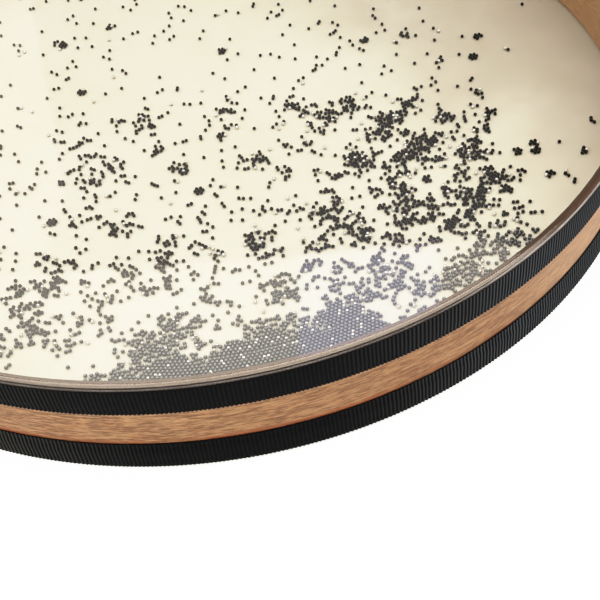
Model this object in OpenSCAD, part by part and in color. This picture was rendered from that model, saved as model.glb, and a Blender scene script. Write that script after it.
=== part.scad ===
// Ocean drum: a bent wooden hoop with a clear head above, a skin head below and loose steel shot
// between them. The drum lies on its skin head, centred on the origin, with its clear head up.

/* [Hoop] */
// Outer radius of the wooden hoop
hoop_r = 278.5; // [220:0.2:300]
// Width of the hoop, from head to head
hoop_h = 66; // [56:0.5:90]
// Thickness of each of the three bent plies
ply_t = 1.8; // [1.6:0.1:3]
// Round-over on the hoop's two outer edges
edge_round = 1.2; // [0.6:0.1:1.5]
// Width of the bevel inside each bearing edge
bevel_w = 2.2; // [1:0.1:3]
// Depth of the bevel inside each bearing edge
bevel_h = 3.2; // [1:0.1:4]
// Glue line between the butted ends of a ply
glue_t = 0.15; // [0.1:0.05:0.3]

/* [Heads] */
// Thickness of the clear film
film_t = 0.4; // [0.25:0.05:0.6]
// How far the film's collar comes down the hoop
film_collar = 16; // [12:0.5:19]
// Thickness of the skin
skin_t = 0.8; // [0.6:0.05:1.2]
// How far the skin's collar comes up the hoop
skin_collar = 13; // [12:0.5:16]

/* [Tapes] */
// Width of the ribbed tape
tape_w = 19; // [18:0.5:24]
// Thickness of the ribbed tape
tape_t = 1; // [0.6:0.1:1.6]
// Glue line behind a tape
tape_glue = 0.1; // [0.05:0.05:0.3]
// Bare film between the top of the drum and the upper tape
film_reveal = 3.6; // [2:0.1:5]
// Height of the lower tape's edge above the surface under the drum
skin_reveal = 1; // [0.8:0.1:4]
// Run over which a tape draws in past the end of a head's collar
tape_tuck = 3; // [1:0.5:4]
// Gap between the two butted ends of a tape
seam_gap = 0.5; // [0.2:0.1:2]
// Bearing of the seams in the tapes, at the back of the drum
seam_bearing = 84; // [60:1:120]

/* [Staples] */
// Number of staples round each head
staple_count = 36; // [18:1:60]
// Width of a staple over its crown
staple_w = 10; // [8:0.5:13]
// Thickness of the staple wire
wire_t = 0.55; // [0.5:0.05:0.7]
// Width of the staple wire
wire_w = 0.8; // [0.6:0.05:1.2]
// Reach of a staple's legs below its crown
staple_leg = 3; // [2.5:0.1:3.4]
// Distance of the staples from the hoop's edge
staple_inset = 10; // [8:0.5:11]

/* [Shot] */
// Diameter of a steel ball
shot_d = 2.4; // [2:0.1:3]
// Least gap between two balls of one group
shot_gap = 0.12; // [0.1:0.01:0.3]
// Gap between the balls and the skin
seat_gap = 0.25; // [0.2:0.05:0.3]
// Gap between the outermost balls and the hoop
wall_gap = 0.4; // [0.3:0.05:1]
// Width of the ring of balls that runs along the hoop
rim_w = 26; // [15:1:60]
// Gap between the ring of balls and the field inside it
lane_gap = 0.4; // [0.3:0.05:1]
// One ball in this many is bright and not blackened
bright_every = 9; // [4:1:20]
// One ball in this many is tossed up to the film by a shake
toss_every = 7; // [4:1:20]

/* [Hidden] */
$fn = 96;

// One overrun serves every cut
overrun = 1;

// Radii and heights that follow from the sizes above
plies = 3;
bore_r = hoop_r - plies * ply_t;
crown_z = skin_t + hoop_h;
top_z = crown_z + film_t;
film_r = hoop_r + film_t;
skin_r = hoop_r + skin_t;

// The joints of the plies stand about a third of a turn apart, each midway between two staples.
// The outer ply's is at the back of the drum
staple_step = 360 / staple_count;
joint_step = round(staple_count / plies) * staple_step;
joint_bearing = (ceil(staple_count / 4) + 3 / 2) * staple_step;

// A staple's crown follows the hoop, and its legs stand one wire in from the crown's ends
crown_turn = staple_w / hoop_r * 180 / PI;
leg_y = staple_w / 2 - 3 * wire_t / 2;

// Shot lies on a close-packed lattice, whose sites are taken in cells of seven
shot_pitch = shot_d + shot_gap;
shot_z = skin_t + seat_gap + shot_d / 2;
shot_reach = bore_r - wall_gap - shot_d / 2;
lane_r = shot_reach + shot_d / 2 - rim_w;
lane_half = (shot_d + lane_gap) / 2;
cell_span = ceil(shot_reach / (shot_pitch * sqrt(7) * sin(60)));
cell_row = 2 * cell_span + 1;
petals = [[0, 0], [1, 0], [0, 1], [-1, 1], [-1, 0], [0, -1], [1, -1]];

// How thickly the shot lies: thin all over, thick in a heap and in a bank along the near rim
field_share = 0.02;
heap_share = 0.1;
heap_at_shares = [0.42, -0.46];
heap_spread_share = 0.3;
bank_share = 0.09;
bank_bearing = -95;
bank_depth_share = 0.2;

// Fixed draws, so that the shot lies the same way each time
cell_draws = rands(0, 1, cell_row * cell_row, 3);
fill_draws = rands(0, 1, cell_row * cell_row, 13);
site_draws = rands(0, 1, cell_row * cell_row * len(petals), 5);

// Place of a lattice site, counted along two rows that meet at 60 degrees
function site(i, j) = shot_pitch * [i + j / 2, j * sin(60)];

// Chance that a cell of seven sites at this place holds balls
function cell_chance(p) =
  let (
    heap = norm(p - shot_reach * heap_at_shares) / (shot_reach * heap_spread_share),
    bank = (norm(p) / shot_reach - 1) / bank_depth_share,
    nearness = max(0, cos(atan2(p.y, p.x) - bank_bearing))
  )
  field_share + heap_share * exp(-heap * heap) + bank_share * exp(-bank * bank) * nearness * nearness;

// The place of every ball
shot = [
  for (k = [0 : cell_row * cell_row - 1])
    let (
      u = k % cell_row - cell_span,
      v = floor(k / cell_row) - cell_span,
      i = 2 * u - v,
      j = u + 3 * v
    )
    if (norm(site(i, j)) < shot_reach && cell_draws[k] < cell_chance(site(i, j)))
      for (m = [0 : len(petals) - 1])
        let (n = k * len(petals) + m, p = site(i + petals[m].x, j + petals[m].y))
        if (norm(p) <= shot_reach && abs(norm(p) - lane_r) >= lane_half && site_draws[n] < fill_draws[k])
          p
];
rim_balls = [for (p = shot) if (norm(p) > lane_r) p];
field_balls = [for (p = shot) if (norm(p) < lane_r) p];

// Cross-section of the whole hoop, from its axis out, with its outer edges rounded
module hoop_outline() {
  difference() {
    union() {
      square([hoop_r - edge_round, hoop_h]);
      translate([0, edge_round]) square([hoop_r, hoop_h - 2 * edge_round]);
      for (y = [edge_round, hoop_h - edge_round])
        translate([hoop_r - edge_round, y]) circle(edge_round);
    }
    bevel_cut();
    translate([0, hoop_h]) mirror([0, 1]) bevel_cut();
  }
}

// What the bevel takes off inside the lower bearing edge
module bevel_cut() {
  polygon([
    [bore_r - overrun, -overrun],
    [bore_r + bevel_w, -overrun],
    [bore_r + bevel_w, 0],
    [bore_r, bevel_h],
    [bore_r - overrun, bevel_h]
  ]);
}

// One bent ply, counted from the bore, butted and glued at its own bearing
module ply(number) {
  translate([0, 0, skin_t])
    butted_ring(joint_bearing + (plies - 1 - number) * joint_step, glue_t)
      intersection() {
        hoop_outline();
        translate([bore_r + number * ply_t, 0]) square([ply_t, hoop_h]);
      }
}

// An outline bent into a ring whose two ends meet at a bearing, with a gap between them
module butted_ring(bearing, gap) {
  turn = gap / hoop_r * 180 / PI;
  rotate([0, 0, bearing + turn / 2])
    rotate_extrude(angle = 360 - turn) children();
}

// A head's section: flat over the crown, round over the edge and down the hoop's side
module head_section(thickness, collar) {
  difference() {
    translate([0, -collar]) edge_block(hoop_r + thickness, edge_round + thickness, collar + thickness);
    translate([0, -collar - overrun]) edge_block(hoop_r, edge_round, collar + overrun);
  }
}

// A block from the axis out to a radius, with its top outer corner rounded
module edge_block(radius, round_r, height) {
  square([radius - round_r, height]);
  square([radius, height - round_r]);
  translate([radius - round_r, height - round_r]) circle(round_r);
}

// One staple on the positive X side of the hoop, with its crown's outer face at a radius
module staple(crown_r) {
  rotate([0, 0, -crown_turn / 2])
    rotate_extrude(angle = crown_turn)
      translate([crown_r - wire_t, -wire_w / 2]) square([wire_t, wire_w]);
  for (side = [-1, 1])
    translate([crown_r - wire_t - staple_leg, side * leg_y - wire_t / 2, -wire_w / 2])
      cube([staple_leg + wire_t / 2, wire_t, wire_w]);
}

// A whole ring of staples through one head's collar
module staple_ring(crown_r, z) {
  for (k = [0 : staple_count - 1])
    rotate([0, 0, k * staple_step])
      translate([0, 0, z]) staple(crown_r);
}

module outer_ply() {
  color("peru")
    difference() {
      ply(2);
      upper_staples();
      lower_staples();
    }
}

module middle_ply() {
  color("tan")
    difference() {
      ply(1);
      upper_staples();
      lower_staples();
    }
}

module inner_ply() {
  color("sandybrown") ply(0);
}

// Clear film head, glued and stapled over the upper edge
module clear_head() {
  color("lightcyan", 0.35)
    difference() {
      translate([0, 0, crown_z]) rotate_extrude() head_section(film_t, film_collar);
      upper_staples();
    }
}

// Hide head, glued and stapled over the lower edge
module skin_head() {
  color("oldlace")
    difference() {
      translate([0, 0, skin_t]) mirror([0, 0, 1]) rotate_extrude() head_section(skin_t, skin_collar);
      lower_staples();
    }
}

// Cross-section of a tape, from its head's outer face: over the collar, then drawn in to bare wood
module tape_section(head_t, collar, reveal) {
  over_head = hoop_r + head_t + tape_glue;
  over_wood = hoop_r + tape_glue;
  collar_end = head_t + collar;
  polygon([
    [over_head, reveal],
    [over_head, collar_end],
    [over_wood, collar_end + tape_tuck],
    [over_wood, reveal + tape_w],
    [over_wood + tape_t, reveal + tape_w],
    [over_wood + tape_t, collar_end + tape_tuck],
    [over_head + tape_t, collar_end],
    [over_head + tape_t, reveal]
  ]);
}

module upper_tape() {
  color("#1c1c1e")
    butted_ring(seam_bearing, seam_gap)
      translate([0, top_z]) mirror([0, 1]) tape_section(film_t, film_collar, film_reveal);
}

module lower_tape() {
  color("#1c1c1e")
    butted_ring(seam_bearing, seam_gap) tape_section(skin_t, skin_collar, skin_reveal);
}

module upper_staples() {
  color("silver") staple_ring(film_r, crown_z - staple_inset);
}

module lower_staples() {
  color("silver") staple_ring(skin_r, skin_t + staple_inset);
}

// Those of the balls that are tossed or not, and bright or not
module shot_group(balls, tossed, bright) {
  for (k = [0 : len(balls) - 1])
    if ((k % toss_every == 0) == tossed && (k % bright_every == 0) == bright)
      translate([balls[k].x, balls[k].y, shot_z]) sphere(d = shot_d, $fn = 24);
}

module rim_dark_shot() {
  color("#2b2b2d") shot_group(rim_balls, false, false);
}

module rim_bright_shot() {
  color("wheat") shot_group(rim_balls, false, true);
}

module rim_tossed_dark_shot() {
  color("#2b2b2d") shot_group(rim_balls, true, false);
}

module rim_tossed_bright_shot() {
  color("wheat") shot_group(rim_balls, true, true);
}

module field_dark_shot() {
  color("#2b2b2d") shot_group(field_balls, false, false);
}

module field_bright_shot() {
  color("wheat") shot_group(field_balls, false, true);
}

module field_tossed_dark_shot() {
  color("#2b2b2d") shot_group(field_balls, true, false);
}

module field_tossed_bright_shot() {
  color("wheat") shot_group(field_balls, true, true);
}

outer_ply();
middle_ply();
inner_ply();
clear_head();
skin_head();
upper_tape();
lower_tape();
upper_staples();
lower_staples();
rim_dark_shot();
rim_bright_shot();
rim_tossed_dark_shot();
rim_tossed_bright_shot();
field_dark_shot();
field_bright_shot();
field_tossed_dark_shot();
field_tossed_bright_shot();
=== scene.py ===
"""An ocean drum: steel shot rolls on the skin of a shallow wooden hoop, under a clear head."""

import math
import random

import bmesh
import bpy
from mathutils import Matrix, Vector, noise


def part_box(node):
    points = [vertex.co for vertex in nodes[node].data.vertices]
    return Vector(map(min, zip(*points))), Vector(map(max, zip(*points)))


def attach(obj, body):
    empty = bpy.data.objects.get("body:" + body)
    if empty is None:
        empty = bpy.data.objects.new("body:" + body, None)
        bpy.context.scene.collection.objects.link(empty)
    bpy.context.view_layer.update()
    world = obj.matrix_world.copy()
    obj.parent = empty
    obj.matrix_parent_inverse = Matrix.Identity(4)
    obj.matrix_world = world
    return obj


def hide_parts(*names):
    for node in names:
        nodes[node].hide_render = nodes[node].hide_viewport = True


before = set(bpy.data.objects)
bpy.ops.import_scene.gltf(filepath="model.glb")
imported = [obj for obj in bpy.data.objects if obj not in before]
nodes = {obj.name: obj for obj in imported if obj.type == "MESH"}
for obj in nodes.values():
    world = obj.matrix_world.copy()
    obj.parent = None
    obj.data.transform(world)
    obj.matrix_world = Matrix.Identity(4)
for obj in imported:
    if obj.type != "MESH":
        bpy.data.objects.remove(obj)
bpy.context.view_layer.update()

MM = 0.001


# Hoop: three plies of a close-grained, orange-brown hardwood, bent round a form and glued. The
# faces are sanded and oiled. Near the crown the glue that holds the clear head has wetted the
# wood, so it shows dark and reddish there, and its two edges are rounded over.
class Wire:
    """One socket of a material's nodes. A sum on wires adds its Math nodes."""

    def __init__(self, tree, socket=None):
        self.tree = tree
        self.socket = socket

    def node(self, kind, settings, sockets, output=0):
        """Adds a node: first its settings are set, then its sockets, from values or wires."""
        made = self.tree.nodes.new("ShaderNode" + kind)
        for name, value in settings.items():
            setattr(made, name, value)
        for name, value in sockets.items():
            if isinstance(value, Wire):
                self.tree.links.new(value.socket, made.inputs[name])
            else:
                made.inputs[name].default_value = value
        return Wire(self.tree, made.outputs[output])

    def math(self, operation, *values):
        return self.node("Math", {"operation": operation}, dict(enumerate(values)))

    def __add__(self, other):
        return self.math("ADD", self, other)

    def __radd__(self, other):
        return self.math("ADD", other, self)

    def __sub__(self, other):
        return self.math("SUBTRACT", self, other)

    def __rsub__(self, other):
        return self.math("SUBTRACT", other, self)

    def __mul__(self, other):
        return self.math("MULTIPLY", self, other)

    def __rmul__(self, other):
        return self.math("MULTIPLY", other, self)

    def __truediv__(self, other):
        return self.math("DIVIDE", self, other)

    def __pow__(self, other):
        return self.math("POWER", self, other)

    def ramp(self, low, high):
        """Rises smoothly from 0 at low to 1 at high, and falls where low is the larger."""
        ends = {"Value": self, "From Min": low, "From Max": high}
        return self.node("MapRange", {"interpolation_type": "SMOOTHSTEP"}, ends)

    def blend(self, first, second):
        """Goes from the first colour to the second as this wire goes from 0 to 1."""
        return self.node("Mix", {"data_type": "RGBA"}, {0: self, 6: first, 7: second}, 2)

    def place(self):
        """Object coordinates as a vector and its three parts."""
        point = self.node("TexCoord", {}, {}, "Object")
        return point, [self.node("SeparateXYZ", {}, {0: point}, k) for k in range(3)]

    def cloud(self, vector, scale, detail=2.0, roughness=0.5):
        """Noise in three dimensions, from about 0.3 to 0.7."""
        sockets = {"Vector": vector, "Scale": scale, "Detail": detail, "Roughness": roughness}
        return self.node("TexNoise", {}, sockets)


def shade(red, green, blue):
    """A colour as it is read off a screen, from 0 to 255, as a linear one."""
    return tuple(((c / 255 + 0.055) / 1.055) ** 2.4 for c in (red, green, blue)) + (1.0,)


def start_finish(name):
    """An empty material, and the wire that its nodes grow from."""
    made = bpy.data.materials.new(name)
    made.use_nodes = True
    made.node_tree.nodes.clear()
    return made, Wire(made.node_tree)


def surface(wire, shader):
    """Ends a material with its surface."""
    out = wire.tree.nodes.new("ShaderNodeOutputMaterial")
    wire.tree.links.new(shader.socket, out.inputs["Surface"])


def new_piece(name, bm, finish, smooth=True):
    """Ends a bmesh as an object of one finish."""
    mesh = bpy.data.meshes.new(name)
    bm.to_mesh(mesh)
    bm.free()
    mesh.polygons.foreach_set("use_smooth", [smooth] * len(mesh.polygons))
    mesh.materials.append(finish)
    piece = bpy.data.objects.new(name, mesh)
    bpy.context.scene.collection.objects.link(piece)
    return piece


hoop_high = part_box("outer_ply")[1]
hoop_r = hoop_high.x
crown_z = hoop_high.z
bore_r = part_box("inner_ply")[1].x
edge_round = 1.2 * MM
upper_tape_low, upper_tape_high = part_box("upper_tape")
lower_tape_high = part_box("lower_tape")[1]


def ply_wood(name, seed, pale, tan, dark):
    """Wood whose grain runs round the hoop: a pattern on a circle, so that it has no seam."""
    made, wire = start_finish(name)
    point, (x, y, z) = wire.place()
    r = (x * x + y * y) ** 0.5

    def grain(round_rate, cross_rate, detail):
        sockets = {0: x / r * round_rate, 1: y / r * round_rate, 2: z * cross_rate + seed}
        spot = wire.node("CombineXYZ", {}, sockets)
        across = {"Vector": spot, "W": r * cross_rate, "Scale": 1.0, "Detail": detail}
        across["Roughness"] = 0.62
        return wire.node("TexNoise", {"noise_dimensions": "4D"}, across)

    tone = grain(7.0, 130.0, 3.0)
    figure = grain(26.0, 620.0, 3.0)
    fibre = grain(34.0, 1600.0, 4.0)
    fleck = grain(140.0, 900.0, 2.0)
    pores = grain(70.0, 1900.0, 1.0).ramp(0.58, 0.7)
    # Growth figure, dark fibres, orange flecks and open pores
    base = (tone * 0.4 + figure * 0.6).ramp(0.36, 0.64).blend(tan, pale)
    base = (fibre.ramp(0.4, 0.58) * 0.95).blend(base, dark)
    base = (fleck.ramp(0.5, 0.72) * 0.42).blend(base, shade(196, 114, 54))
    base = (pores * 0.7).blend(base, dark)
    # Outside, the wood is paler along the upper tape, and stained along the lower one, with a
    # painted shadow just above the lower tape on the right.
    # Round the hoop it goes from tan to brown, and painted light makes it paler again at the far
    # right
    outside = r.ramp(hoop_r - 1.5 * MM, hoop_r - 0.5 * MM)
    low_edge = z.ramp(lower_tape_high.z + 4 * MM, lower_tape_high.z) * outside
    high_edge = z.ramp(upper_tape_low.z - 2.5 * MM, upper_tape_low.z) * outside
    base = (high_edge * 0.4).blend(base, shade(198, 160, 122))
    lit_far_right = x.ramp(120 * MM, 185 * MM)
    base = (low_edge * tone.ramp(0.3, 0.55) * 0.8 * (1.0 - lit_far_right)).blend(base, shade(150, 66, 28))
    base = (x.ramp(-120 * MM, 100 * MM) * 0.28).blend(base, shade(124, 80, 46))
    # Painted light: the far right of the hoop is painted paler, as if a lamp lit it from the right
    base = (lit_far_right * 0.3).blend(base, shade(206, 168, 126))
    # Painted shadow: a dark line on the wood just above the lower tape, towards the right
    shadow = z.ramp(lower_tape_high.z + 1.2 * MM, lower_tape_high.z + 0.4 * MM) * outside
    base = (shadow * x.ramp(40 * MM, 150 * MM) * 0.85).blend(base, shade(40, 26, 16))
    # The glued crown: its flat, its round-over with a painted highlight, streaks along it and
    # painted shade in a crease below it
    right = (x + tone * 20 * MM).ramp(138 * MM, 178 * MM)
    flat = x.ramp(80 * MM, 150 * MM).blend(shade(108, 88, 72), shade(58, 40, 22))
    # Painted highlight: the round-over is painted pale on the left and middle; on the right it is
    # glue-dark
    near = x.ramp(-160 * MM, -60 * MM).blend(shade(132, 115, 100), shade(152, 134, 116))
    near = x.ramp(40 * MM, 110 * MM).blend(near, shade(140, 122, 104))
    round_over_stain_and_highlight = right.blend(near, shade(62, 40, 26))
    rounding = r.ramp(hoop_r - edge_round - 0.3 * MM, hoop_r - edge_round + 0.2 * MM)
    stain = rounding.blend(flat, round_over_stain_and_highlight)
    streak = figure.ramp(0.4, 0.7) * (0.3 + right * 0.4)
    stain = streak.blend(stain, shade(84, 52, 34))
    # Painted shade: a near-black line in the crease just below the round-over
    painted_crease_shade = z.ramp(crown_z - edge_round - 0.3 * MM, crown_z - edge_round - 0.7 * MM)
    stain = (painted_crease_shade * 0.97).blend(stain, shade(34, 22, 14))
    wet = z.ramp(crown_z - 5.0 * MM, crown_z - 4.0 * MM)
    base = wet.blend(base, stain)
    height = (fibre * 0.5 - pores) * (1.0 - wet)
    bump = wire.node("Bump", {}, {"Height": height, "Strength": 0.35, "Distance": 0.12 * MM})
    sockets = {"Base Color": base, "Roughness": 0.6 + pores * 0.15, "Normal": bump}
    sockets["Specular IOR Level"] = 0.22
    surface(wire, wire.node("BsdfPrincipled", {}, sockets))
    return made


plies = {
    "outer_ply": (1.7, shade(190, 143, 94), shade(169, 119, 73), shade(104, 64, 34)),
    "middle_ply": (23.1, shade(196, 150, 106), shade(172, 126, 86), shade(120, 80, 54)),
    "inner_ply": (51.9, shade(200, 152, 106), shade(176, 128, 84), shade(122, 80, 52)),
}
for name, (seed, pale, tan, dark) in plies.items():
    nodes[name].material_slots[0].material = ply_wood(name + "_wood", seed, pale, tan, dark)


# Clear head: a disc of polyester film, drawn tight over the crown and glued and stapled down its
# side. It is seen by what it mirrors: a film has two faces, and each throws back a twentieth of
# the light that meets it squarely and nearly all that grazes it. Glue whitens it at the tape.
film_low, film_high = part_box("clear_head")
film_z = film_high.z
film_t = film_z - crown_z
fold_r = hoop_r - edge_round
fold_z = crown_z - edge_round


def clear_film():
    made, wire = start_finish("clear_film")
    point, (x, y, z) = wire.place()
    facing = wire.node("LayerWeight", {}, {"Blend": 0.5}, "Facing")
    mirrored = 0.052 + 0.948 * facing ** 5.0
    slack = wire.cloud(point, 11.0, 1.0)
    dust = wire.cloud(point, 900.0, 2.0)
    patch = wire.cloud(point, 60.0, 2.0).ramp(0.3, 0.6)
    bump = wire.node("Bump", {}, {"Height": slack, "Strength": 0.12, "Distance": 0.6 * MM})
    right = x.ramp(128 * MM, 170 * MM)
    left = x.ramp(-60 * MM, -160 * MM)
    fold = z.ramp(film_z, film_z - 0.3 * MM)
    runny = x.ramp(85 * MM, 150 * MM)
    glue_top = upper_tape_high.z + (0.6 + 1.0 * runny) * MM
    glue = (glue_top - z).ramp(0.0, 0.3 * MM)
    glue = glue * (0.4 + 0.08 * runny) * (0.75 + 0.25 * patch)
    sockets = {"Base Color": shade(250, 238, 228), "Metallic": 1.0 - glue, "Normal": bump}
    sockets["Roughness"] = 0.03 + dust * 0.03 + fold * 0.35
    gloss = wire.node("BsdfPrincipled", {}, sockets)
    clear = wire.node("BsdfTransparent", {}, {"Color": (0.985, 0.985, 0.975, 1.0)})
    low = z.ramp(fold_z + 0.5 * MM, fold_z - 0.1 * MM)
    dull = fold * wire.math("MAXIMUM", 0.15 + 0.8 * right + 0.5 * left, low * 0.96)
    shown = wire.math("MAXIMUM", mirrored * (1.0 - dull), glue)
    surface(wire, wire.node("MixShader", {}, {0: shown, 1: clear, 2: gloss}))
    return made


film_steps = 256
fold_steps = 6
film_off = 0.05 * MM
# The film's section, from its centre out over the fold and down, then back along its inner face
film_section = [(0.0, film_z), (fold_r - edge_round, film_z), (fold_r - 0.1 * MM, film_z)]
for k in range(fold_steps + 1):
    bend = math.pi / 2 * (1 - k / fold_steps)
    bend_r = edge_round + film_t
    film_section.append((fold_r + bend_r * math.cos(bend), fold_z + bend_r * math.sin(bend)))
film_section += [(hoop_r + film_t, film_low.z), (hoop_r + film_off, film_low.z)]
for k in range(fold_steps + 1):
    bend = math.pi / 2 * k / fold_steps
    bend_r = edge_round + film_off
    film_section.append((fold_r + bend_r * math.cos(bend), fold_z + bend_r * math.sin(bend)))
film_section += [(fold_r - edge_round, crown_z + film_off), (0.0, crown_z + film_off)]
bm = bmesh.new()
corners = [bm.verts.new((r, 0, z)) for r, z in film_section]
edges = [bm.edges.new(pair) for pair in zip(corners, corners[1:])]
ring = {"cent": (0, 0, 0), "axis": (0, 0, 1), "angle": 2 * math.pi, "steps": film_steps}
bmesh.ops.spin(bm, geom=corners + edges, use_merge=True, **ring)
bmesh.ops.remove_doubles(bm, verts=bm.verts, dist=0.001 * MM)
bmesh.ops.recalc_face_normals(bm, faces=bm.faces)
piece = new_piece("drawn_film", bm, clear_film())
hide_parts("clear_head")
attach(piece, "drum")


# Skin head: a disc of goat hide, scraped thin and cured to a cream colour, lapped wet over the
# lower edge and stapled. Fibres cloud it faintly, and over one side it is painted darker and
# browner, as painted shade.
def cured_hide():
    made, wire = start_finish("cured_hide")
    point, (x, y, z) = wire.place()
    cloudy = wire.cloud(point, 9.0, 4.0, 0.6)
    mottle = wire.cloud(point, 60.0, 3.0, 0.6)
    fibre = wire.cloud(point, 900.0, 3.0, 0.6)
    base = cloudy.ramp(0.35, 0.65).blend(shade(246, 238, 213), shade(243, 233, 205))
    base = (mottle.ramp(0.5, 0.8) * 0.35).blend(base, shade(236, 224, 198))
    # Painted shade: towards one side the skin is painted darker and browner, and blotches gather
    # there
    painted_shade_side = (x * 0.8 + y * 0.35 + cloudy * 0.1).ramp(0.11, 0.27)
    base = painted_shade_side.blend(base, shade(175, 161, 139))
    blotch = wire.cloud(point, 26.0, 2.0).ramp(0.6, 0.72) * painted_shade_side
    base = (blotch * 0.4).blend(base, shade(186, 160, 124))
    bump = wire.node("Bump", {}, {"Height": fibre, "Strength": 0.25, "Distance": 0.08 * MM})
    sockets = {"Base Color": base, "Roughness": 0.55 + mottle * 0.2, "Normal": bump}
    surface(wire, wire.node("BsdfPrincipled", {}, sockets))
    return made


nodes["skin_head"].material_slots[0].material = cured_hide()


# Tapes: black grosgrain, whose thick weft makes ribs across it. Each is glued round the hoop over
# a head's collar, drawn in past the collar's end, and butted at the back. The ribs end in small
# loops, so that both edges are scalloped.
rib_pitch = 2.17 * MM
rib_depth = 0.5 * MM
steps_per_rib = 6
ribs_per_length = 45
seam_bearing = math.radians(84)
seam_gap = 0.5 * MM
tape_t = 1.0 * MM
tape_glue = 0.1 * MM
# Shares of a tape's width, from the bare wood's side: up to the first it lies on the wood, and
# from the second on it lies over the collar
on_wood, over_collar = 0.14, 0.38
scallop = 0.18 * MM
fraying = 0.08 * MM
waviness = 0.06 * MM


def ribbed_cloth():
    made, wire = start_finish("ribbed_cloth")
    point, (x, y, z) = wire.place()
    crest = wire.node("Attribute", {"attribute_name": "crest"}, {}, "Fac")
    yarn = wire.cloud(point, 1500.0, 3.0, 0.65)
    patch = wire.cloud(point, 45.0, 2.0)
    # Painted light: the rib crests are painted lighter, a painted highlight, and the grooves near
    # black, a painted shade
    crown = crest ** 5.0
    # Painted sheen: the crests are painted lighter towards the left and right, more on the lower
    # tape's left
    low = z.ramp(30 * MM, 20 * MM)
    painted_side_sheen = x.ramp(20 * MM, 180 * MM) * 1.2 + x.ramp(-40 * MM, -210 * MM) * (0.65 + 0.9 * low)
    painted_side_sheen = painted_side_sheen * (0.6 + 0.8 * patch)
    side = x.ramp(0.0, 150 * MM).blend(shade(66, 65, 61), shade(72, 74, 76))
    base = crown.blend(shade(4, 4, 4), painted_side_sheen.blend(shade(13, 14, 14), side))
    base = (yarn.ramp(0.5, 0.75) * 0.5 * patch * crest).blend(base, shade(60, 60, 61))
    glued = z.ramp(upper_tape_high.z - 0.6 * MM, upper_tape_high.z - 0.3 * MM)
    glued = glued * ((x * x + y * y) ** 0.5).ramp(hoop_r + 0.95 * MM, hoop_r + 0.7 * MM)
    base = (glued * 0.85).blend(base, shade(92, 80, 72))
    threads = wire.math("SINE", z * (2 * math.pi / (0.42 * MM)))
    height = yarn + threads * 0.2
    bump = wire.node("Bump", {}, {"Height": height, "Strength": 0.5, "Distance": 0.06 * MM})
    sockets = {"Base Color": base, "Roughness": 0.7 + yarn * 0.2, "Normal": bump}
    sockets["Specular IOR Level"] = 0.04
    surface(wire, wire.node("BsdfPrincipled", {}, sockets))
    return made


cloth = ribbed_cloth()


def within(value):
    """A value held between 0 and 1."""
    return min(1.0, max(0.0, value))


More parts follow.
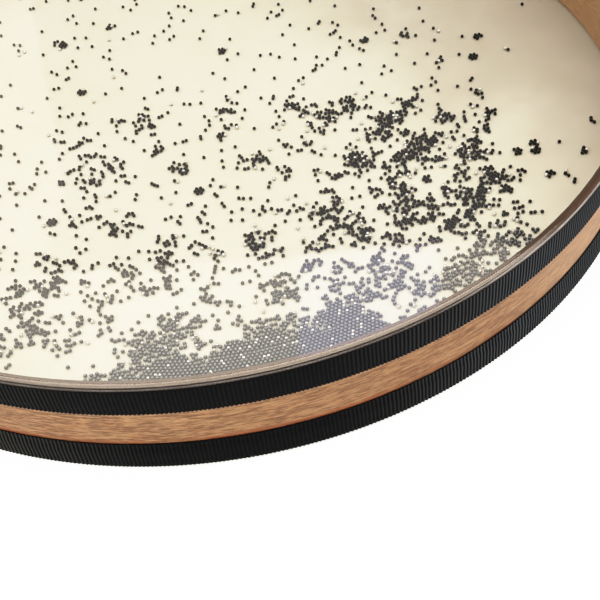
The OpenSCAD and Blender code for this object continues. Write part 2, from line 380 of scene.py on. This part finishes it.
def wound_tape(name, node, head_side, seed):
    """A tape's section spun into one length, repeated round the hoop and pressed into ribs.

    The head_side is 1 where the head lies above the tape and -1 where it lies below."""
    low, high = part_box(node)
    outer_r = high.x
    wide = high.z - low.z
    draw_in = outer_r - (hoop_r + tape_glue + tape_t)
    # Depth below the outermost face and share of the width, round from the far inner corner
    section = [
        (draw_in + tape_t, 0.0), (draw_in + 0.35 * tape_t, 0.0), (draw_in + 0.08 * tape_t, 0.015),
        (draw_in, 0.05), (draw_in * 0.97, 0.13), (draw_in * 0.75, 0.2), (draw_in * 0.3, 0.3),
        (draw_in * 0.05, over_collar), (0.0, 0.55), (0.0, 0.85), (0.05 * tape_t, 0.96),
        (0.2 * tape_t, 0.99), (0.5 * tape_t, 1.0), (tape_t, 1.0), (tape_t, 0.33),
        (draw_in + tape_t, 0.18),
    ]
    turn = 2 * math.pi - seam_gap / outer_r
    lengths = round(turn * outer_r / (rib_pitch * ribs_per_length))
    ribs = lengths * ribs_per_length
    start = seam_bearing + seam_gap / outer_r / 2
    middle = (low.z + high.z) / 2
    bm = bmesh.new()
    corners = []
    for depth, share in section:
        z = middle + head_side * (share - 0.5) * wide
        corners.append(bm.verts.new((outer_r - depth, 0, z)))
    edges = [bm.edges.new((a, b)) for a, b in zip(corners, corners[1:] + corners[:1])]
    steps = ribs_per_length * steps_per_rib
    ring = {"cent": (0, 0, 0), "axis": (0, 0, 1), "angle": turn / lengths, "steps": steps}
    bmesh.ops.spin(bm, geom=corners + edges, use_merge=False, **ring)
    length = bpy.data.meshes.new(name + "_length")
    bm.to_mesh(length)
    bm.free()
    bm = bmesh.new()
    crest_layer = bm.verts.layers.float.new("crest")
    length.transform(Matrix.Rotation(start, 4, "Z"))
    for k in range(lengths):
        bm.from_mesh(length)
        length.transform(Matrix.Rotation(turn / lengths, 4, "Z"))
    bpy.data.meshes.remove(length)
    bmesh.ops.remove_doubles(bm, verts=bm.verts, dist=0.001 * MM)
    bmesh.ops.holes_fill(bm, edges=[e for e in bm.edges if e.is_boundary])
    bmesh.ops.recalc_face_normals(bm, faces=bm.faces)
    for v in bm.verts:
        r = math.hypot(v.co.x, v.co.y)
        bearing = (math.atan2(v.co.y, v.co.x) - start + seam_gap) % (2 * math.pi) - seam_gap
        wander = noise.noise(Vector((v.co.x * 60, v.co.y * 60, seed)))
        phase = bearing / turn * ribs + 0.35 * wander
        crest = abs(math.sin(math.pi * phase))
        share = 0.5 + head_side * (v.co.z - middle) / wide
        depth = draw_in * within((over_collar - share) / (over_collar - on_wood))
        shown = within((r - outer_r + depth + 0.7 * tape_t) / (0.35 * tape_t))
        edge = within((abs(v.co.z - middle) / (wide / 2) - 0.9) / 0.08)
        wave = waviness * noise.noise(Vector((v.co.x * 25, v.co.y * 25, v.co.z * 90 + seed)))
        scale = (r - rib_depth * (1 - crest) * shown + wave * shown) / r
        v.co.x *= scale
        v.co.y *= scale
        inward = (scallop * (1 - crest) + fraying * (0.5 + 0.5 * wander)) * edge
        v.co.z -= math.copysign(inward, v.co.z - middle)
        # The crest value is zero in the grooves and on the tape's top and inner faces, which are so
        # painted near black as shade
        v[crest_layer] = crest * shown
    piece = new_piece(name, bm, cloth)
    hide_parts(node)
    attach(piece, "drum")


wound_tape("upper_grosgrain", "upper_tape", 1, 4.7)
wound_tape("lower_grosgrain", "lower_tape", -1, 9.3)


# Staples: flat steel wire, driven through each head's collar into the hoop, and hidden by the
# tapes. The wire is drawn bright, with faint marks along it.
def drawn_wire():
    made, wire = start_finish("drawn_wire")
    point, parts = wire.place()
    marks = wire.cloud(point, 2500.0, 2.0)
    base = marks.ramp(0.35, 0.65).blend(shade(150, 150, 152), shade(196, 196, 198))
    sockets = {"Base Color": base, "Metallic": 1.0, "Roughness": 0.28 + marks * 0.2}
    surface(wire, wire.node("BsdfPrincipled", {}, sockets))
    return made


for name in ("upper_staples", "lower_staples"):
    nodes[name].material_slots[0].material = drawn_wire()


# Shot: steel balls of 2.4 mm, loose between the heads. Nine in ten are blackened, and the rest are
# bright. They roll into a bank along the near rim, a broad heap on the right and small clumps and
# chains elsewhere. The balls along the rim and those of the field run at different speeds.
ball_d = 2.4 * MM
ball_r = ball_d / 2
shot_names = [prefix + "_shot" for prefix in (
    "rim_dark", "rim_bright", "rim_tossed_dark", "rim_tossed_bright",
    "field_dark", "field_bright", "field_tossed_dark", "field_tossed_bright",
)]


def ball_places(node):
    """The places of the balls of a CAD node: the top of each is a point straight above it."""
    low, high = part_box(node)
    tops = [v.co for v in nodes[node].data.vertices if v.co.z > high.z - 0.001 * MM]
    return sorted({(round(p.x, 5), round(p.y, 5)) for p in tops})


balls = {name: ball_places(name) for name in shot_names}
ball_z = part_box("field_dark_shot")[0].z + ball_r
field_edge = max(math.hypot(x, y) for n in balls for x, y in balls[n] if n.startswith("field"))
rim_edge = min(math.hypot(x, y) for n in balls for x, y in balls[n] if n.startswith("rim"))
reach = bore_r - 1.6 * MM
tossed_share = 0.14
bright_share = 0.1
loose_share = 0.017
bank_share = 0.85
bare_from_x = 186

# Places and spreads of the clumps, in millimetres, and how much of the skin each one covers
clumps = [
    (-42, 8, 9, 0.34), (-60, 12, 5, 0.22), (-82, -36, 12, 0.22), (-63, -33, 6, 0.24),
    (-37, -25, 6, 0.22), (-25, -43, 6, 0.24), (-93, -75, 8, 0.16), (-67, -95, 7, 0.36),
    (15, 3, 8, 0.24), (20, -13, 6, 0.26), (27, -53, 8, 0.42), (50, -47, 5, 0.28),
    (47, -20, 5, 0.22), (63, -57, 5, 0.26), (63, -7, 7, 0.38), (80, -23, 6, 0.6),
    (97, -15, 8, 0.5), (117, -37, 8, 0.75), (110, -50, 8, 0.5), (133, -27, 7, 0.48),
    (153, -48, 7, 0.42), (168, -57, 6, 0.34), (183, -53, 5, 0.4), (133, -67, 8, 0.85),
    (122, -77, 8, 0.85), (150, -63, 6, 0.4), (90, -73, 8, 0.75), (73, -83, 6, 0.36),
    (158, -87, 8, 0.8), (147, -100, 7, 0.45), (165, -109, 7, 0.8), (110, -92, 8, 0.55),
    (110, -110, 7, 0.55), (107, -125, 9, 0.6), (123, -126, 7, 0.45), (148, -128, 10, 0.7),
    (177, -117, 7, 0.4), (67, -123, 12, 0.48), (57, -111, 7, 0.4), (37, -103, 7, 0.4),
    (17, -127, 10, 0.36), (50, -138, 8, 0.28), (70, -140, 8, 0.2), (100, -148, 9, 0.3),
    (130, -146, 8, 0.3), (40, -172, 6, 0.1), (52, -176, 9, 0.25), (78, -172, 9, 0.4),
    (70, -188, 6, 0.4), (86, -186, 7, 0.26), (172, -148, 10, 0.38), (145, -162, 10, 0.4),
    (165, -170, 9, 0.4), (130, -186, 12, 0.55), (152, -178, 9, 0.5), (92, -170, 10, 0.28),
    (110, -190, 10, 0.42), (67, -160, 7, 0.2), (23, -170, 8, 0.4), (-15, -168, 8, 0.3),
    (-40, -130, 8, 0.6), (-17, -122, 6, 0.34), (-12, -136, 6, 0.3), (-70, -130, 8, 0.42),
    (-38, -112, 6, 0.28), (-47, -149, 9, 0.34), (-84, -150, 8, 0.28), (-113, -130, 8, 0.5),
    (-130, -126, 7, 0.34), (-107, -111, 9, 0.24), (-133, -145, 7, 0.24),
    (-120, -163, 10, 0.38), (-107, -177, 10, 0.44), (-137, -175, 8, 0.32),
    (-30, -85, 32, 0.02), (-110, 0, 40, 0.004), (-42, -186, 11, 0.6), (-62, -195, 11, 0.65),
    (-88, -168, 9, 0.28), (-50, -205, 12, 0.35), (77, -25, 17, 0.2), (12, -5, 15, 0.08),
    (101, -69, 14, 0.19), (131, -78, 14, 0.2), (162, -88, 12, 0.12), (-90, -10, 16, 0.09),
    (33, -82, 14, 0.08), (-93, -77, 15, 0.11), (-62, -86, 14, 0.07), (-1, -104, 14, 0.07),
    (87, -130, 14, 0.1), (-94, -108, 14, 0.04), (-96, -136, 14, 0.03), (-66, -145, 14, 0.12),
    (-9, -161, 14, 0.06), (19, -169, 14, 0.17), (74, -184, 14, 0.14), (101, -192, 14, 0.18),
    (-40, -179, 14, 0.12), (-12, -187, 14, 0.04), (14, -194, 13, 0.28), (171, -55, 14, 0.08),
    (-124, -35, 16, 0.05), (-124, 37, 20, 0.02),
]
# The inner edge of the bank along the near rim: x and y of its bends, in millimetres
bank_edge = [
    (-135, -240), (-100, -222), (-84, -208), (-70, -208), (-58, -205), (-40, -206), (-30, -211),
    (-22, -207), (-3, -203), (2, -199), (18, -202), (27, -201), (32, -195), (39, -197), (49, -189),
    (59, -187), (64, -194), (74, -214), (100, -226), (150, -240),
]


def into_bank(x, y):
    """How far a place lies inside the bank, in millimetres."""
    x, y = x / MM, y / MM
    for (x0, y0), (x1, y1) in zip(bank_edge, bank_edge[1:]):
        if x0 <= x < x1:
            return y0 + (y1 - y0) * (x - x0) / (x1 - x0) - y
    return -100.0


def cover(x, y):
    """The share of the skin that balls cover at a place."""
    share = loose_share + bank_share / (1 + math.exp(-into_bank(x, y) / 2.5))
    x, y = x / MM, y / MM
    for clump_x, clump_y, spread, amount in clumps:
        away = ((x - clump_x) ** 2 + (y - clump_y) ** 2) / spread ** 2
        if away < 6:
            share += amount * math.exp(-away)
    if x > bare_from_x:
        share *= 0.06
    return min(share, 1.0)


def gather(x, y):
    """How much more than elsewhere balls gather at a place: along wandering lines, and in lumps."""
    at = Vector((x, y, 0)) / MM
    line_apart = 14
    lump_apart = 8
    line = abs(noise.noise(at / line_apart + Vector((3.1, 7.7, 0))))
    lump = noise.noise(at / lump_apart + Vector((13.1, 1.7, 4)))
    return (0.3 + 2.1 * math.exp(-6 * line)) * (1 + 1.1 * lump)


touching = 1.015 * ball_d
taken = {}


def take(x, y):
    """Marks a place as taken, under the cell of a square grid that it lies in."""
    taken.setdefault((int(x // (2 * ball_d)), int(y // (2 * ball_d))), []).append((x, y))


def is_free(x, y):
    """Whether a ball fits at a place."""
    near = by_distance(x, y)
    return not near or near[0][0] >= ball_d


def by_distance(x, y):
    """The balls about a place, as distances and places, the nearest first."""
    i, j = int(x // (2 * ball_d)), int(y // (2 * ball_d))
    near = [p for a in (-1, 0, 1) for b in (-1, 0, 1) for p in taken.get((i + a, j + b), ())]
    return sorted((math.hypot(x - p[0], y - p[1]), p) for p in near)


def settle(x, y, pull):
    """Rolls a ball against the nearest one within the pull, or between two."""
    near = by_distance(x, y)
    if not near or near[0][0] > pull:
        return x, y
    away, (first_x, first_y) = near[0]
    x = first_x + (x - first_x) * touching / away
    y = first_y + (y - first_y) * touching / away
    second = [p for d, p in by_distance(x, y) if p != (first_x, first_y)]
    if not second:
        return x, y
    span = math.hypot(second[0][0] - first_x, second[0][1] - first_y)
    if span > 1.95 * touching or math.hypot(second[0][0] - x, second[0][1] - y) > 1.5 * touching:
        return x, y
    along = Vector((second[0][0] - first_x, second[0][1] - first_y)) / span
    side = Vector((-along.y, along.x))
    if side.dot(Vector((x - first_x, y - first_y))) < 0:
        side = -side
    place = along * span / 2 + side * math.sqrt(touching ** 2 - span ** 2 / 4)
    return first_x + place.x, first_y + place.y


def lay(x, y):
    """Adds a ball to one of the groups."""
    take(x, y)
    group = "rim" if math.hypot(x, y) >= rim_edge else "field"
    tossed = "_tossed" if draw.random() < tossed_share else ""
    kind = "_bright" if draw.random() < bright_share else "_dark"
    balls[group + tossed + kind + "_shot"].append((x, y))


for name in shot_names:
    for x, y in balls[name]:
        take(x, y)
draw = random.Random(21)
# In the bank the balls lie close-packed, in rows along the rim, and a row's balls stand over the
# gaps of the last one. Every eight rows they start afresh, because the rows get shorter inwards
row_depth = touching * math.sin(math.pi / 3)
rows_together = 8
bank_inner_r = 185 * MM
bank_from, bank_to = math.radians(-165), math.radians(-12)
bay_depth = 9
bay_width = 9 * MM
bands = [(reach, rim_edge + 0.01 * MM)]
outer = field_edge - 0.01 * MM
while outer > bank_inner_r:
    bands.append((outer, outer - (rows_together - 1) * row_depth))
    outer = bands[-1][1] - touching
for outer, inner in bands:
    row_count = int((outer - inner) / row_depth + 0.01) + 1
    for row in range(row_count):
        r = outer - (outer - inner) * row / (row_count - 1)
        bearing = bank_from + row % 2 * touching / inner / 2
        while bearing < bank_to:
            x, y = r * math.cos(bearing), r * math.sin(bearing)
            bearing += touching / inner
            depth = into_bank(x, y) - bay_depth * noise.noise(Vector((x, y, 0)) / bay_width)
            if depth < 0 or not is_free(x, y):
                continue
            if draw.random() < min(0.98, 0.5 + 0.08 * depth):
                lay(x, y)
# The rest falls at random, where the clumps and the bank ask for it, and settles against what
# lies there. The later sweeps only fill the close places
trial_count = round((reach / ball_r) ** 2)
for sweep in range(4):
    for trial in range(trial_count):
        r = reach * math.sqrt(draw.random())
        bearing = 2 * math.pi * draw.random()
        x, y = r * math.cos(bearing), r * math.sin(bearing)
        share = cover(x, y)
        if sweep:
            chance = (share - 0.5) * 1.4
        else:
            chance = (share + share * (1 - share) * (gather(x, y) - 1)) * (1 + 0.7 * share)
        if draw.random() > chance:
            continue
        x, y = settle(x, y, ball_d * (2.0 if share > 0.5 else draw.uniform(0.6, 1.9)))
        r = math.hypot(x, y)
        if r > reach or field_edge < r < rim_edge or not is_free(x, y):
            continue
        lay(x, y)


def blackened_steel():
    made, wire = start_finish("blackened_steel")
    point, (x, y, z) = wire.place()
    batch = wire.cloud(point, 260.0, 1.0)
    scuff = wire.cloud(point, 3000.0, 2.0)
    # Painted light: each ball's top is painted lighter, a painted highlight, and its lower part
    # near black, a painted shade
    lit_top_mask = z.ramp(ball_z + 0.7 * MM, ball_z + 1.15 * MM)
    # Painted reflection: near the rim the tops are painted pale grey and the feet grey, for the
    # haze the clear head mirrors
    painted_haze = y.ramp(-140 * MM, -200 * MM)
    top = batch.ramp(0.3, 0.7).blend(shade(34, 32, 27), shade(52, 49, 43))
    top = painted_haze.blend(top, shade(150, 150, 150))
    base = lit_top_mask.blend(painted_haze.blend(shade(7, 6, 4), shade(42, 42, 42)), top)
    base = (scuff.ramp(0.6, 0.8) * lit_top_mask * 0.2).blend(base, shade(90, 88, 86))
    sockets = {"Base Color": base, "Roughness": 0.4 + scuff * 0.2}
    sockets["Specular IOR Level"] = 0.06
    surface(wire, wire.node("BsdfPrincipled", {}, sockets))
    return made


def bright_steel():
    made, wire = start_finish("bright_steel")
    point, (x, y, z) = wire.place()
    scuff = wire.cloud(point, 2200.0, 2.0)
    # Painted reflection: below its top each bright ball is painted dark brown, for the shaded skin
    # and dim room it mirrors
    lit_top_mask = z.ramp(ball_z - 0.5 * MM, ball_z + 0.1 * MM)
    top = scuff.ramp(0.35, 0.7).blend(shade(255, 253, 250), shade(244, 238, 228))
    base = lit_top_mask.blend(shade(84, 66, 48), top)
    sockets = {"Base Color": base, "Metallic": 1.0, "Roughness": 0.3 + scuff * 0.1}
    surface(wire, wire.node("BsdfPrincipled", {}, sockets))
    return made


def ball_piece(name, places, finish):
    """A number of balls as one mesh. The sides of a ball bulge, so that it has its mean width."""
    ball = bpy.data.meshes.new("ball")
    bm = bmesh.new()
    bulge = 1.03
    bmesh.ops.create_uvsphere(bm, u_segments=8, v_segments=6, radius=ball_r * bulge)
    bm.to_mesh(ball)
    bm.free()
    bm = bmesh.new()
    for x, y in places:
        turned_own_way = Matrix.Rotation(60 * x * 1000, 4, "Z")
        place = Matrix.Translation((x, y, ball_z)) @ turned_own_way
        ball.transform(place)
        bm.from_mesh(ball)
        ball.transform(place.inverted())
    return new_piece(name, bm, finish)


finishes = {"dark": blackened_steel(), "bright": bright_steel()}
balls_per_piece = 2000
for name in shot_names:
    kind = "bright" if "bright" in name else "dark"
    places = balls[name]
    for k in range(0, len(places), balls_per_piece):
        title = "%s_balls_%d" % (name, k // balls_per_piece + 1)
        piece = ball_piece(title, places[k:k + balls_per_piece], finishes[kind])
        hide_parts(name)
        kind + "_shot"
        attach(piece, name.replace("_" + kind, ""))


# Floor and lights: a plain pale floor under one broad soft light overhead. Beyond the drum stand
# panels of light that the clear head mirrors as a haze over the near rim.
def matt_paint():
    made, wire = start_finish("matt_paint")
    point, parts = wire.place()
    tone = wire.cloud(point, 1.3, 2.0)
    base = tone.ramp(0.3, 0.7).blend(shade(244, 244, 244), shade(248, 248, 247))
    sockets = {"Base Color": base, "Roughness": 0.8, "Emission Color": base}
    sockets["Emission Strength"] = 0.7
    surface(wire, wire.node("BsdfPrincipled", {}, sockets))
    return made


def panel_glow(name, colour, strength):
    made, wire = start_finish(name)
    surface(wire, wire.node("Emission", {}, {"Color": colour, "Strength": strength}))
    return made


def flat_piece(name, corners, finish):
    """One flat face, as a stage piece."""
    bm = bmesh.new()
    bm.faces.new([bm.verts.new(p) for p in corners])
    piece = new_piece(name, bm, finish, smooth=False)


floor_half = 8.0
floor_corners = [(-1, -1), (1, -1), (1, 1), (-1, 1)]
floor_at = [(x * floor_half, y * floor_half, -0.2 * MM) for x, y in floor_corners]
flat_piece("floor", floor_at, matt_paint())

# Camera: close over the near rim, looking down on the skin and a little to the right
focal_px = 1089.1
frame_px = 600
tilt_down = math.radians(47.56)
roll = math.radians(8.34)
pan = math.radians(-4.31)
camera_at = Vector((0, -599.1, 460.3)) * MM
turned = Matrix.Rotation(pan, 3, "Z") @ Matrix.Rotation(math.pi / 2 - tilt_down, 3, "X")
turned = turned @ Matrix.Rotation(-roll, 3, "Z")
camera_data = bpy.data.cameras.new("camera")
camera_data.sensor_width = 36.0
camera_data.lens = focal_px / frame_px * camera_data.sensor_width
camera = bpy.data.objects.new("camera", camera_data)
camera.matrix_world = Matrix.Translation(camera_at) @ turned.to_4x4()
bpy.context.scene.collection.objects.link(camera)
bpy.context.scene.camera = camera

# Corners of each panel as the film mirrors it, in pixels of the 600 by 600 frame
panels = {
    "wide_panel": (0.95, 1.0, 0.94, [(-260, 296), (298, 256), (298, 520), (-260, 520)]),
    "cool_panel": (0.9, 0.98, 1.34, [(298, 256), (440, 243), (440, 420), (298, 520)]),
    "side_panel": (1.0, 0.98, 0.9, [(440, 243), (498, 238), (530, 262), (440, 420)]),
    "left_panel": (1.0, 1.0, 1.0, [(-260, -60), (20, -60), (66, 200), (30, 290), (-260, 296)]),
}
panel_glows = {"wide_panel": 2.9, "cool_panel": 3.55, "side_panel": 2.45, "left_panel": 1.3}
panel_y = 1.9


def mirrored_at(u, v):
    """Where the film mirrors a pixel to, on an upright plane beyond the drum."""
    ray = turned @ Vector((u - frame_px / 2, frame_px / 2 - v, -focal_px))
    at_film = camera_at + ray * ((film_z - camera_at.z) / ray.z)
    ray.z = -ray.z
    return at_film + ray * ((panel_y - at_film.y) / ray.y)


for name, (red, green, blue, corners) in panels.items():
    glow = panel_glow(name + "_glow", (red, green, blue, 1.0), panel_glows[name])
    flat_piece(name, [mirrored_at(u, v) for u, v in corners], glow)


def soft_light(name, power, size, place, aim):
    lamp = bpy.data.lights.new(name, "AREA")
    lamp.shape = "RECTANGLE"
    lamp.size, lamp.size_y = size
    lamp.energy = power
    piece = bpy.data.objects.new(name, lamp)
    piece.location = place
    piece.rotation_euler = (Vector(aim) - Vector(place)).to_track_quat("-Z", "Y").to_euler()
    bpy.context.scene.collection.objects.link(piece)


soft_light("overhead_left", 41.0, (1.5, 2.2), (-1.2, -0.5, 1.7), (-0.05, -0.05, 0.0))
soft_light("overhead_right", 41.0, (1.5, 2.2), (0.8, -0.5, 1.7), (-0.05, -0.05, 0.0))
soft_light("side_fill", 5.0, (0.8, 0.8), (2.0, -1.0, 0.6), (0.2, -0.1, 0.03))

sky = bpy.data.worlds.new("sky")
sky.use_nodes = True
sky.node_tree.nodes["Background"].inputs["Color"].default_value = (0.96, 0.98, 1.0, 1.0)
sky.node_tree.nodes["Background"].inputs["Strength"].default_value = 0.08
bpy.context.scene.world = sky
picture = bpy.context.scene.view_settings
picture.view_transform = "Standard"
picture.use_curve_mapping = True
picture.curve_mapping.use_clip = False
# The brightest tones roll off, as in a photograph
brightest = 2.5
picture.curve_mapping.white_level = (brightest, brightest, brightest)
tones = [
    (0.35, 0.35), (0.7, 0.66), (0.9, 0.8), (1.1, 0.89), (1.3, 0.945), (1.6, 0.985), (2.0, 0.998),
]
for tone, shown in tones:
    picture.curve_mapping.curves[3].points.new(tone / brightest, shown)
picture.curve_mapping.update()
